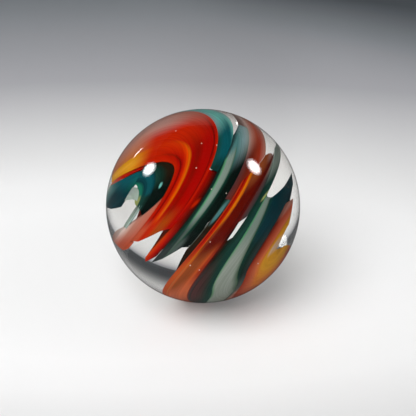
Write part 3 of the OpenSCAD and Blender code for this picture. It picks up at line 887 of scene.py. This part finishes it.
# The look of each ribbon, by its sheet and the number of its glass there.
LOOKS: dict[tuple[str, int], Look] = {
    ("blade", 0): Look(
        ((0, Tone.JADE), (0.2, Tone.PETROL), (0.6, Tone.PEACOCK), (1, Tone.PETROL)),
        ((0, Tone.LIME), (0.12, Tone.PINE), (1, Tone.NIGHT)),
        (7.7, 7.2),
    ),
    ("eye", 0): Look(
        ((0, Tone.PINE), (0.3, Tone.BOTTLE), (0.6, Tone.UMBER), (1, Tone.UMBER)),
        ((0, Tone.NIGHT), (1, Tone.NIGHT)),
        (8.6, 7.4),
        # The turquoise spot is a painted glint.
        pools=(Pool((0.36, 7.9), (0.1, 0.3), Tone.TURQUOISE, 1.0, 0.6),),
    ),
    ("leaf", 0): Look(
        ((0, Tone.STEEL), (1, Tone.ASH)),
        ((0, Tone.ASH), (1, Tone.MIST)),
        (8.4, 7.6),
    ),
    ("tongue", 0): Look(
        ((0, Tone.ASH), (0.3, Tone.SMOKE), (0.6, Tone.MIST), (1, Tone.LAGOON)),
        ((0, Tone.MIST), (0.3, Tone.SAGE), (0.6, Tone.MIST), (1, Tone.LAGOON)),
        (6.6, 5.2),
    ),
    ("far_blade", 0): Look(
        ((0, Tone.JADE), (0.12, Tone.PEACOCK), (0.6, Tone.PEACOCK), (1, Tone.JADE)),
        ((0, Tone.PETROL), (0.3, Tone.PETROL), (0.6, Tone.LAGOON), (1, Tone.MIST)),
        (9.2, 7.9),
    ),
    ("far_red", 0): Look(
        ((0, Tone.CRIMSON), (1, Tone.SCARLET)),
        ((0, Tone.CRIMSON), (0.5, Tone.BRICK), (1, Tone.ROSE)),
        (9.6, 8.6),
    ),
    ("wide_red", 0): Look(
        (
            (0, Tone.SCARLET), (0.35, Tone.CRIMSON), (0.45, Tone.OXBLOOD), (0.55, Tone.CRIMSON),
            (0.8, Tone.SCARLET), (1, Tone.VERMILION),
        ),
        ((0, Tone.BRICK), (0.6, Tone.BRICK), (1, Tone.SCARLET)),
        (5.2, 3.8),
        ((0, Tone.AMBER), (0.6, Tone.HONEY), (1, Tone.AMBER)),
        (SKY_RED,),
    ),
    ("wide_red", 1): Look(
        ((0, Tone.VERMILION), (0.4, Tone.ORANGE), (1, Tone.CRIMSON)),
        ((0, Tone.SCARLET), (1, Tone.SCARLET)),
        (5.4, 4.2),
        ((0, Tone.COPPER), (1, Tone.COPPER)),
        (SKY_RED,),
    ),
    ("wide_red", 2): Look(
        (
            (0, Tone.CRIMSON), (0.2, Tone.GARNET), (0.45, Tone.CRIMSON), (0.78, Tone.CRIMSON),
            (0.83, Tone.OXBLOOD), (0.87, Tone.CRIMSON), (1, Tone.SCARLET),
        ),
        ((0, Tone.SCARLET), (0.25, Tone.RUST), (0.45, Tone.RUST), (0.8, Tone.CRIMSON)),
        (5.5, 4.0),
        ((0, Tone.COPPER), (0.4, Tone.ROSE), (1, Tone.MAUVE)),
        (
            Pool((0.2, 12.0), (1.4, 3.0), Tone.SCARLET),
            # The rose and mauve ovals at the very top are a painted milky reflection near the rim.
            Pool((0.92, 12.6), (0.7, 2.8), Tone.ROSE, 1.0, 0.9),
            Pool((0.55, 13.1), (0.6, 2.0), Tone.MAUVE, 1.0, 0.9),
        ),
    ),
    # The pearl and rose on this red ribbon are a painted milky reflection over it; the brick is
    # the red glass thin over clear glass.
    ("veil", 0): Look(
        ((0, Tone.PEARL), (0.35, Tone.ROSE), (1, Tone.BRICK)),
        ((0, Tone.ROSE), (0.4, Tone.BRICK), (1, Tone.BRICK)),
        (4.5, 2.0),
    ),
    # Painted light: the teal is painted lighter, in steel and turquoise, toward its top, where it
    # is thin and the bright floor behind shines through it, and darker at its foot, where less
    # light comes through.
    ("teal", 0): Look(
        ((0, Tone.STEEL), (0.3, Tone.TURQUOISE), (0.7, Tone.TURQUOISE), (1, Tone.STEEL)),
        (
            (0, Tone.PINE), (0.3, Tone.PEACOCK), (0.65, Tone.PEACOCK), (0.85, Tone.TURQUOISE),
            (1, Tone.MIST),
        ),
        (10.1, 8.7),
        ((0, Tone.MIST), (1, Tone.MIST)),
        (Pool((0.2, 6.5), (0.6, 1.2), Tone.BOTTLE, 0.9),),
    ),
    ("leg", 0): Look(
        ((0, Tone.CRIMSON), (0.3, Tone.GARNET), (0.6, Tone.OXBLOOD), (0.85, Tone.MAROON)),
        ((0, Tone.VERMILION), (0.3, Tone.SCARLET), (0.6, Tone.CRIMSON), (1, Tone.MAROON)),
        (3.8, 2.2),
        pools=(Pool((0.58, 4.7), (0.35, 0.4), Tone.SCARLET, 0.9),),
    ),
    ("middle", 0): Look(
        ((0, Tone.BOTTLE), (0.5, Tone.BOTTLE), (1, Tone.PINE)),
        ((0, Tone.SLATE), (1, Tone.SLATE)),
        (2.2, 0.8),
    ),
    ("middle", 1): Look(
        ((0, Tone.MOSS), (0.1, Tone.SPRING), (0.3, Tone.SAGE), (0.8, Tone.SAGE), (1, Tone.MOSS)),
        ((0, Tone.BOTTLE), (0.6, Tone.SMOKE), (1, Tone.MOSS)),
        (3.8, 2.2),
        pools=(Pool((0.5, 8.4), (3.0, 1.8), Tone.LAGOON, 1.0, 0.4),),
    ),
    ("middle", 2): Look(
        ((0, Tone.LAGOON), (0.6, Tone.STEEL), (1, Tone.ASH)),
        ((0, Tone.PINE), (0.15, Tone.BOTTLE), (0.35, Tone.NIGHT), (1, Tone.NIGHT)),
        (7.2, 5.2),
        pools=(Pool((0.15, 0.9), (0.5, 1.1), Tone.SMOKE, 0.8),),
    ),
    ("flap", 0): Look(
        (
            (0, Tone.MAUVE), (0.22, Tone.ROSE), (0.55, Tone.BRICK), (0.8, Tone.ROSE),
            (1, Tone.MAUVE),
        ),
        ((0, Tone.COCOA), (0.3, Tone.MAHOGANY), (0.7, Tone.RUSSET), (1, Tone.ROSE)),
        (6.7, 5.2),
    ),
    ("sliver", 0): Look(
        ((0, Tone.BOTTLE), (0.5, Tone.PINE), (1, Tone.SMOKE)),
        ((0, Tone.UMBER), (1, Tone.UMBER)),
        (3.2, 2.4),
        pools=(
            Pool((0.12, 1.2), (0.1, 1.5), Tone.SMOKE, 0.9),
            Pool((0.5, 2.5), (0.42, 0.9), Tone.LAGOON, 1.0, 0.6),
        ),
    ),
    ("narrow_red", 0): Look(
        (
            (0, Tone.RUSSET), (0.25, Tone.SCARLET), (0.36, Tone.OXBLOOD), (0.5, Tone.CRIMSON),
            (0.8, Tone.SCARLET), (1, Tone.ORANGE),
        ),
        ((0, Tone.BRICK), (0.4, Tone.SIENNA), (1, Tone.SIENNA)),
        (0.5, -2.5),
    ),
    ("narrow_red", 1): Look(
        ((0, Tone.AMBER), (0.4, Tone.ORANGE), (1, Tone.RUST)),
        ((0, Tone.COPPER), (1, Tone.SIENNA)),
        (-0.5, -2.5),
        pools=(Pool((0.6, 0.3), (2.0, 1.9), Tone.MAHOGANY, 0.9),),
    ),
    ("narrow_edge", 0): Look(
        (
            (0, Tone.MAHOGANY), (0.15, Tone.OXBLOOD), (0.76, Tone.OXBLOOD), (0.82, Tone.MAROON),
            (0.87, Tone.OXBLOOD), (1, Tone.MAROON),
        ),
        ((0, Tone.CHESTNUT), (0.5, Tone.CHESTNUT), (0.75, Tone.SIENNA), (0.88, Tone.RUSSET)),
        (-0.3, -2.0),
        pools=(
            Pool((0.25, 3.8), (0.8, 1.3), Tone.CHESTNUT, 0.9),
            Pool((0.9, 4.0), (0.45, 0.8), Tone.MAUVE, 0.9, 0.9),
            Pool((0.8, -6.0), (0.9, 3.2), Tone.CORAL),
            Pool((0.1, -6.8), (0.6, 2.6), Tone.CORAL),
        ),
    ),
    ("cap", 0): Look(
        ((0, Tone.MAHOGANY), (1, Tone.SAGE)),
        ((0, Tone.OXBLOOD), (0.3, Tone.COCOA), (1, Tone.SLATE)),
        (3.0, 2.2),
    ),
    ("toe", 0): Look(
        ((0, Tone.OXBLOOD), (0.6, Tone.UMBER), (1, Tone.BOTTLE)),
        ((0, Tone.RUSSET), (0.3, Tone.COCOA), (1, Tone.SLATE)),
        (-2.0, -4.0),
    ),
    ("dark", 0): Look(
        ((0, Tone.SAGE), (1, Tone.ASH)),
        ((0, Tone.BOTTLE), (1, Tone.PINE)),
        (2.8, 1.6),
        pools=(
            Pool((0.1, -6.0), (0.85, 4.5), Tone.COCOA, 0.9),
            Pool((0.9, 0.9), (0.35, 0.3), Tone.LIME),
        ),
    ),
    ("edge", 0): Look(
        ((0, Tone.SPRING), (0.1, Tone.SPRING), (0.3, Tone.SAGE), (0.8, Tone.SAGE), (1, Tone.MOSS)),
        ((0, Tone.SPRING), (0.16, Tone.ASH), (0.8, Tone.ASH), (1, Tone.MOSS)),
        (-1.0, -4.0),
        pools=(Pool((0.5, -9.6), (2.0, 2.0), Tone.ASH, 0.9),),
    ),
    ("edge", 1): Look(
        ((0, Tone.PINE), (0.2, Tone.PETROL), (1, Tone.PETROL)),
        ((0, Tone.PINE), (0.4, Tone.BOTTLE), (1, Tone.SLATE)),
        (-2.2, -4.0),
        pools=(
            Pool((0.7, -8.5), (1.5, 2.4), Tone.SMOKE, 0.9),
            Pool((1.0, -10.2), (0.9, 2.2), Tone.ROSE, 1.0, 0.6),
        ),
    ),
    ("edge_red", 0): Look(
        ((0, Tone.MAHOGANY), (0.3, Tone.RUSSET), (0.7, Tone.BRICK), (1, Tone.CORAL)),
        ((0, Tone.RUSSET), (0.4, Tone.BRICK), (0.75, Tone.CORAL), (1, Tone.APRICOT)),
        (-4.5, -6.5),
        pools=(Pool((0.5, -2.2), (0.9, 0.9), Tone.ROSE),),
    ),
    ("edge_red", 1): Look(
        ((0, Tone.COPPER), (0.3, Tone.AMBER), (1, Tone.HONEY)),
        ((0, Tone.APRICOT), (0.3, Tone.HONEY), (1, Tone.HONEY)),
        (-4.5, -6.5),
        pools=(
            Pool((0.8, -5.6), (0.4, 0.9), Tone.PEARL, 0.6),
            Pool((0.5, -11.2), (2.0, 2.6), Tone.CORAL),
        ),
    ),
}


# ---- pieces


@dataclass
class Ribbons:
    """Every ribbon of one glass, as one object of closed twisted sheets.

    stations and arc_steps are the steps along a ribbon and into it, film is the clear glass
    beside it and joint half the gap between two glasses of a sheet. Past its deepening height a
    ribbon gets deeper by deepening for each millimetre, and faces that meet at more than crease
    stay sharp.
    """

    glass: Glass
    cane: Cane
    stations: int = 90
    arc_steps: int = 24
    film: float = 0.03
    joint: float = 0.004
    deepening: float = 3.5
    crease: float = 35.0

    def ribbon(
        self, sheet: Sheet, lines: tuple[Line, ...], film: tuple[float, float]
    ) -> tuple[np.ndarray, list[np.ndarray], np.ndarray, np.ndarray]:
        """One ribbon, on the rows between its first and its last line.

        Its outline at a row runs up its inner edge and down its outer one. The inner edge lies
        the sheet's depth below the outer one at mid height and runs out to nothing at the foot
        and the head, like an ellipse, and it never passes the far rim. The two faces are grids
        over the height, spaced by a cosine so that they close up at the ends, and over the arc.

        Args:
            sheet: The sheet it belongs to.
            lines: Its own lines, in order across the stack.
            film: Clear glass left outside its first and its last line.

        Returns:
            Points, faces, the lay of each point (place, height and way in) and its band
            (share of the way across the ribbon, and millimetres past the middle of the ball).
        """
        n, m = self.stations, self.arc_steps
        rows = Rows(self.cane, lines, film)
        low, high = rows.ends()
        count = len(low)
        wave = (1 - np.cos(np.pi * np.arange(n + 1) / n)) / 2
        h = low[:, None] + (high - low)[:, None] * wave[None, :]
        q = rows.place(h)
        swell = np.sqrt(np.maximum(0.0, 1 - (2 * wave - 1) ** 2))
        side = math.copysign(1.0, sheet.reach)
        across = abs(sheet.reach) * 2 * self.cane.chord(q, h) * (self.cane.bow_radius + q)
        over = np.maximum(0.0, np.maximum(h - sheet.deepen_from, sheet.deepen_under - h))
        depth = np.minimum(across, sheet.depth * swell[None, :] + self.deepening * over)
        order = np.concatenate([np.arange(n + 1), np.arange(n - 1, 0, -1)])
        inner = np.concatenate([np.ones(n + 1), np.zeros(n - 1)])
        points, lay, band = [], [], []

        def add(qi: np.ndarray, hi: np.ndarray, si: np.ndarray) -> None:
            """Add points with their lay and their band.

            Args:
                qi: Places across the stack.
                hi: Heights.
                si: Ways in from the rim.
            """
            first, last = lines[0].at(hi), lines[-1].at(hi)
            share = (qi - first) / np.maximum(last - first, 1e-3)
            half = self.cane.chord(qi, hi) * (self.cane.bow_radius + qi)
            far, nearest = si - half, np.minimum(si, 2 * half - si)
            points.append(self.cane.point(qi, hi, si, side).reshape(-1, 3))
            lay.append(np.stack([qi, hi, nearest], axis=-1).reshape(-1, 3))
            band.append(np.stack([share, side * far, 0 * far], axis=-1).reshape(-1, 3))

        add(q[:, order], h[:, order], depth[:, order] * inner[None, :])
        offset = count * 2 * n
        faces = [grid_faces(count, 2 * n, True)[:, ::-1]]
        share = np.arange(1, m) / m
        for row, flip in ((0, False), (count - 1, True)):
            qi, hi = (np.repeat(v[row, 1:-1, None], m - 1, axis=1) for v in (q, h))
            si = depth[row, 1:-1, None] * share[None, :]
            rim = row * 2 * n
            number = np.empty((n + 1, m + 1), dtype=int)
            number[0, :], number[n, :] = rim, rim + n
            i = np.arange(1, n)
            number[1:n, m], number[1:n, 0] = rim + i, rim + 2 * n - i
            number[1:n, 1:m] = offset + np.arange((n - 1) * (m - 1)).reshape(n - 1, m - 1)
            quads = np.stack(
                [number[:-1, :-1], number[1:, :-1], number[1:, 1:], number[:-1, 1:]], axis=-1
            )
            middle = quads[1:-1].reshape(-1, 4)
            start, end = quads[0][:, [0, 1, 2]], quads[-1][:, [0, 1, 3]]
            faces += [block[:, ::-1] if flip else block for block in (middle, start, end)]
            add(qi, hi, si)
            offset += qi.size
        if side < 0:
            faces = [block[:, ::-1] for block in faces]
        return np.concatenate(points), faces, np.concatenate(lay), np.concatenate(band)

    def build(self) -> bpy.types.Object:
        """Build and dress the ribbons, and let them stand for their CAD node.

        Returns:
            The object.
        """
        made, faces, looks = [], [], []
        base = 0
        for sheet in SHEETS:
            last = len(sheet.glasses) - 1
            starts = (*range(last + 1), len(sheet.lines) - 1)
            for k, glass in enumerate(sheet.glasses):
                if glass is not self.glass:
                    continue
                film = tuple(self.film if k == outer else self.joint for outer in (0, last))
                lines = sheet.lines[starts[k] : starts[k + 1] + 1]
                points, shape, lay, band = self.ribbon(sheet, lines, film)
                slots = np.full(sum(len(block) for block in shape), len(looks))
                made.append((points, slots, lay, band))
                faces += [block + base for block in shape]
                looks.append(FINISHES[glass].build(f"{sheet.name}_{k}", LOOKS[sheet.name, k]))
                base += len(points)
        points, slots, lay, band = (np.concatenate(each) for each in zip(*made))
        ways = {"lay": lay, "band": band}
        body = mesh_object(f"{self.glass.value}_ribbons", points, faces, slots, ways)
        body.data.set_sharp_from_angle(angle=math.radians(self.crease))
        for look in looks:
            body.data.materials.append(look)
        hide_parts(self.glass.value)
        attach(body, "root")
        return body


def ball(rings: int, around: int) -> tuple[np.ndarray, list[np.ndarray]]:
    """A ball of radius 1 over latitude and longitude, with one point at each pole.

    Args:
        rings: Steps from pole to pole.
        around: Steps round the middle.

    Returns:
        Points, and faces that look outwards.
    """
    lat = np.radians(np.linspace(-90, 90, rings + 1))[1:-1]
    la, lo = np.meshgrid(lat, circle(around), indexing="ij")
    ring = np.stack([np.cos(la) * np.cos(lo), np.cos(la) * np.sin(lo), np.sin(la)], axis=-1)
    count, top = (rings - 1) * around, (rings - 2) * around
    j = np.arange(around)
    k = (j + 1) % around
    south = np.stack([k, j, np.full_like(j, count)], axis=-1)
    north = np.stack([top + j, top + k, np.full_like(j, count + 1)], axis=-1)
    points = np.concatenate([ring.reshape(-1, 3), [[0.0, 0.0, -1.0], [0.0, 0.0, 1.0]]])
    return points, [grid_faces(rings - 1, around, True), south, north]


@dataclass
class BallSkin:
    """The fire-polished outside of the ball, a hair within the flats of the CAD one."""

    cane: Cane
    within: float = 0.9995
    rings: int = 160
    around: int = 320

    def build(self) -> bpy.types.Object:
        """Build and dress the skin, and let it stand for the CAD's clear glass.

        Returns:
            The object.
        """
        points, faces = ball(self.rings, self.around)
        body = mesh_object("clear_ball", self.within * self.cane.ball_radius * points, faces)
        body.data.materials.append(PolishedGlass().build())
        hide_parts(Glass.CLEAR.value)
        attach(body, "root")
        return body


@dataclass(frozen=True)
class Speck:
    """A tiny flaw under the skin: its azimuth and elevation in degrees, its radius in mm."""

    azimuth: float
    elevation: float
    radius: float = 0.065


@dataclass
class Specks:
    """Flaws of one kind, as one object of tiny balls, their middles a little under the skin."""

    name: str
    finish: SpeckFinish
    places: tuple[Speck, ...]
    cane: Cane
    under: float = 0.14
    rings: int = 6
    around: int = 10

    def build(self) -> bpy.types.Object:
        """Set a ball at each place: its radius times the unit ball, moved out to the place.

        Returns:
            The object.
        """
        unit, shape = ball(self.rings, self.around)
        points, faces = [], []
        for n, speck in enumerate(self.places):
            a, e = math.radians(speck.azimuth), math.radians(speck.elevation)
            way = np.array([math.cos(e) * math.cos(a), math.cos(e) * math.sin(a), math.sin(e)])
            points.append((self.cane.ball_radius - self.under) * way + speck.radius * unit)
            faces += [block + n * len(unit) for block in shape]
        body = mesh_object(self.name, np.concatenate(points), faces)
        body.data.materials.append(self.finish.build())
        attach(body, "root")
        return body


# The bubble's pale colours are a painted glint of the light it catches.
BUBBLE = SpeckFinish("air_bubble", "#e8dccc", "#b8a898", 0.2)
SAND = SpeckFinish("unmelted_sand", "#1c1c1c", "#3c3a38", 0.7)
BUBBLES = (
    Speck(-149, 72),
    Speck(-92, 68),
    Speck(-71, 66, 0.075),
    Speck(-96, 52, 0.075),
    Speck(-84, 40),
    Speck(-74, 37),
    Speck(-86, 11),
    Speck(-97, -4, 0.085),
    Speck(-92, -7, 0.075),
    Speck(-57, -9, 0.085),
)
STONES = (Speck(-23, 27, 0.11), Speck(-22, 25, 0.1), Speck(-24, 8, 0.07), Speck(-25, -18, 0.1))


# ---- studio


def mirrored(tree: bpy.types.NodeTree) -> bpy.types.Node:
    """Tell what a surface mirrors from what is seen plainly or through glass.

    Args:
        tree: Node tree to add to.

    Returns:
        A node that gives 1 for what is mirrored, and otherwise 0.
    """
    light = add_node(tree, "LightPath")
    rays = {0: light.outputs["Is Glossy Ray"], 1: light.outputs["Is Transmission Ray"]}
    return add_node(tree, "Math", rays, operation="SUBTRACT", use_clamp=True)


def aim(thing: bpy.types.Object, away: np.ndarray) -> None:
    """Turn a lamp or a camera so that it looks back along a direction."""
    thing.rotation_euler = Vector(away.tolist()).to_track_quat("Z", "Y").to_euler()


@dataclass(frozen=True)
class StudioBoard:
    """Matt board, painted pale near the ball and grey further out and low on the wall, a painted
    pool of the lamps' light; white higher up the wall, and a painted darker reflection where the
    ball mirrors it.

    The tone goes by the distance from the ball, weighed each way by oval and moved by off, plus
    a little along corner_way and in front. corner, front and up_wall are the place where each
    starts, the place where it is full, and how much it adds, in metres. The tones are in shares
    of reach.
    """

    oval: Triple = (0.55, 1.0, 0.8)
    off: Triple = (0.006, 0.0, 0.0)
    corner_way: Triple = (1.0, 1.0, 0.0)
    corner: Triple = (0.1, 0.165, 0.035)
    front: Triple = (-0.005, -0.035, 0.012)
    up_wall: Triple = (0.02, 0.3, 1.0)
    reach: float = 0.3
    wall_tone: str = "#ffffff"
    # A painted darker reflection: the ball mirrors the floor in this grey.
    mirror_tone: str = "#5a5a5a"
    # Painted light: the floor's tone falls from pale to grey with distance, as the lamps' light
    # does.
    tones: Stops = (
        (0.0, "#e8e8e8"),
        (0.075, "#f0f0f0"),
        (0.1, "#ececec"),
        (0.133, "#dcdcdc"),
        (0.23, "#a4a4a8"),
        (0.377, "#787c80"),
        (0.5, "#484c50"),
        (1.0, "#505458"),
    )

    def build(self) -> bpy.types.Material:
        """Make the material.

        Returns:
            The material.
        """
        material, tree = new_material("matt_studio_board")
        place = add_node(tree, "TexCoord").outputs["Object"]
        weighed = {0: place, 1: self.oval, 2: self.off}
        oval = add_node(tree, "VectorMath", weighed, operation="MULTIPLY_ADD")
        far = add_node(tree, "VectorMath", {0: oval}, operation="LENGTH").outputs["Value"]
        ways = {0: place, 1: self.corner_way}
        along = add_node(tree, "VectorMath", ways, operation="DOT_PRODUCT").outputs["Value"]
        _, y, z = add_node(tree, "SeparateXYZ", {0: place}).outputs
        front, corner = (
            add_node(
                tree,
                "MapRange",
                {"Value": way, "From Min": ease[0], "From Max": ease[1], "To Max": ease[2]},
                **SMOOTH,
            )
            for way, ease in ((y, self.front), (along, self.corner))
        )
        more = add_node(tree, "Math", {0: front, 1: corner}, operation="ADD")
        further = add_node(tree, "Math", {0: far, 1: more}, operation="ADD")
        scaled = {"Value": further, "From Min": 0.0, "From Max": self.reach}
        ramp = add_node(tree, "ValToRGB", {0: add_node(tree, "MapRange", scaled)})
        tone = fill_ramp(ramp, self.tones)
        lifted = lay_over(tree, tone, linear(self.wall_tone), z, self.up_wall)
        # Painted reflection: what the ball mirrors of the floor is the darker mirror tone.
        both = {0: mirrored(tree), 6: lifted, 7: linear(self.mirror_tone)}
        shown = add_node(tree, "Mix", both, **COLOUR).outputs[2]
        board = add_node(tree, "BsdfDiffuse", {"Color": shown})
        add_node(tree, "OutputMaterial", {"Surface": board})
        return material


@dataclass(frozen=True)
class Lamp:
    """A light that hangs round the ball and faces it.

    size is its width, or half of it on a softbox, and distance how far off it hangs, in metres.
    strength is its power in watts, or how bright the middle of a softbox is.
    """

    name: str
    direction: Triple
    size: float
    strength: float
    distance: float

    def hang(self, body: bpy.types.Object) -> None:
        """Move a light out along the direction and turn it back towards the ball.

        Args:
            body: The light's object.
        """
        away = np.array(self.direction) / np.linalg.norm(self.direction)
        body.location = (away * self.distance).tolist()
        aim(body, away)


@dataclass(frozen=True)
class FillLamp(Lamp):
    """A big soft lamp, which is kept out of the ball's reflections."""

    distance: float = 0.7

    def build(self) -> None:
        """Hang the lamp."""
        data = bpy.data.lights.new(self.name, "AREA")
        data.shape, data.size, data.energy = "DISK", self.size, self.strength
        body = bpy.data.objects.new(self.name, data)
        bpy.context.scene.collection.objects.link(body)
        self.hang(body)
        body.visible_glossy = False


@dataclass(frozen=True)
class Softbox(Lamp):
    """An oval softbox: brightest over a core of its size, and faint at its edge.

    narrow is its width as a share of its length, and roll turns it about its own axis.
    """

    distance: float = 0.33
    narrow: float = 1.0
    roll: float = 0.0
    core: float = 0.12
    around: int = 48

    def cloth(self) -> bpy.types.Material:
        """Glowing cloth, which shows in what the ball mirrors and not through its glass.

        Returns:
            The material.
        """
        material, tree = new_material(f"{self.name}_cloth")
        place = {0: add_node(tree, "TexCoord").outputs["Object"]}
        faded = {
            "Value": add_node(tree, "VectorMath", place, operation="LENGTH").outputs["Value"],
            "From Min": self.size,
            "From Max": self.core * self.size,
            "To Max": self.strength,
        }
        fade = add_node(tree, "MapRange", faded, **SMOOTH)
        depth = add_node(tree, "LightPath").outputs["Transmission Depth"]
        outside = add_node(tree, "Math", {0: depth, 1: 0.5}, operation="LESS_THAN")
        strength = add_node(tree, "Math", {0: fade, 1: outside}, operation="MULTIPLY")
        glow = add_node(tree, "Emission", {"Strength": strength})
        add_node(tree, "OutputMaterial", {"Surface": glow})
        return material

    def build(self) -> None:
        """Hang the softbox: a disc of radius size, squeezed to its width."""
        ring = circle(self.around)
        disc = self.size / MM * np.stack([np.cos(ring), np.sin(ring), 0 * ring], axis=-1)
        body = mesh_object(self.name, disc, [np.arange(self.around)[None, :]])
        self.hang(body)
        body.rotation_euler.rotate_axis("Z", math.radians(self.roll))
        body.scale = (self.narrow, 1.0, 1.0)
        body.data.materials.append(self.cloth())
        for ray in ("camera", "transmission", "diffuse", "shadow"):
            setattr(body, f"visible_{ray}", False)


@dataclass
class Studio:
    """A pale round floor with a grey wall round it, the lamps, the room and the camera.

    The frame is 416 pixels square, and off_middle is by how many of them the ball lies off its
    middle. The room's light is room_light, and mirrored_light where the ball mirrors it.
    """

    cane: Cane
    elevation: float = 31.0
    distance: float = 127.0
    lens: float = 85.0
    sensor: float = 36.0
    frame: float = 416.0
    off_middle: tuple[float, float] = (5.0, -2.0)
    clip: tuple[float, float] = (0.005, 10.0)
    floor_reach: float = 700.0
    wall_height: float = 620.0
    floor_rings: int = 60
    wall_rings: int = 12
    around: int = 96
    room_light: float = 0.2
    mirrored_light: float = 0.04
    lamps: tuple[FillLamp | Softbox, ...] = (
        FillLamp("overhead_fill", (-0.3, -0.42, 0.86), 0.6, 4.5),
        FillLamp("front_fill", (-0.1, -1.0, 0.02), 0.3, 17.0),
        Softbox("left_softbox", (-0.8141, 0.130, 0.5704), 0.056, 42.0, narrow=0.85, roll=-30.0),
        Softbox("right_softbox", (0.7767, 0.1331, 0.6149), 0.056, 40.0),
        Softbox("low_strip", (-0.703, 0.647, 0.293), 0.034, 26.0, narrow=0.2, roll=30.0),
    )

    def backdrop(self) -> None:
        """A surface of revolution: a flat floor and a wall, by radius and height."""
        r = np.linspace(0, self.floor_reach, self.floor_rings)
        z = np.linspace(0, self.wall_height, self.wall_rings + 1)[1:]
        r = np.concatenate([r, np.full(self.wall_rings, self.floor_reach)])
        z = np.concatenate([np.zeros(self.floor_rings), z]) - self.cane.ball_radius
        rr, ll = np.meshgrid(r[1:], circle(self.around), indexing="ij")
        zz = np.repeat(z[1:, None], self.around, axis=1)
        points = np.stack([rr * np.cos(ll), rr * np.sin(ll), zz], axis=-1).reshape(-1, 3)
        points = np.concatenate([points, [[0.0, 0.0, z[0]]]])
        j = np.arange(self.around)
        hub = np.stack([np.full_like(j, len(points) - 1), (j + 1) % self.around, j], axis=-1)
        faces = [grid_faces(len(r) - 1, self.around, True), hub]
        body = mesh_object("studio_floor", points, faces)
        body.data.materials.append(StudioBoard().build())

    def camera(self) -> None:
        """Set the camera at its elevation and distance, in front of the ball."""
        data = bpy.data.cameras.new("camera")
        data.lens, data.sensor_width = self.lens, self.sensor
        data.clip_start, data.clip_end = self.clip
        data.shift_x, data.shift_y = (pixels / self.frame for pixels in self.off_middle)
        body = bpy.data.objects.new("camera", data)
        bpy.context.scene.collection.objects.link(body)
        e = math.radians(self.elevation)
        away = np.array([0.0, -math.cos(e), math.sin(e)])
        body.location = (away * self.distance * MM).tolist()
        aim(body, away)
        bpy.context.scene.camera = body

    def room(self) -> None:
        """Soft even light from all round."""
        world = bpy.data.worlds.new("soft_room")
        bpy.context.scene.world = world
        world.use_nodes = True
        tree = world.node_tree
        tree.nodes.clear()
        level = {"Value": mirrored(tree), "To Min": self.room_light, "To Max": self.mirrored_light}
        light = {"Color": linear("#ffffff"), "Strength": add_node(tree, "MapRange", level)}
        add_node(tree, "OutputWorld", {"Surface": add_node(tree, "Background", light)})

    def build(self) -> None:
        """Put up the whole studio."""
        self.room()
        self.backdrop()
        for lamp in self.lamps:
            lamp.build()
        self.camera()


def main() -> None:
    """Build the marble piece by piece and report each, then the studio."""
    logging.basicConfig(level=logging.INFO, format="%(name)s: %(message)s")
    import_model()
    cane = Cane()
    parts = [Ribbons(glass, cane) for glass in (RED, AMBER, TEAL, SAGE, GREEN)]
    parts.append(BallSkin(cane))
    parts.append(Specks("air_bubbles", BUBBLE, BUBBLES, cane))
    parts.append(Specks("stones", SAND, STONES, cane))
    for part in parts:
        body = part.build()
        LOG.info("%s: %d faces", body.name, len(body.data.polygons))
    Studio(cane).build()
    bpy.context.scene.view_settings.view_transform = "Standard"


if __name__ == "__main__":
    main()
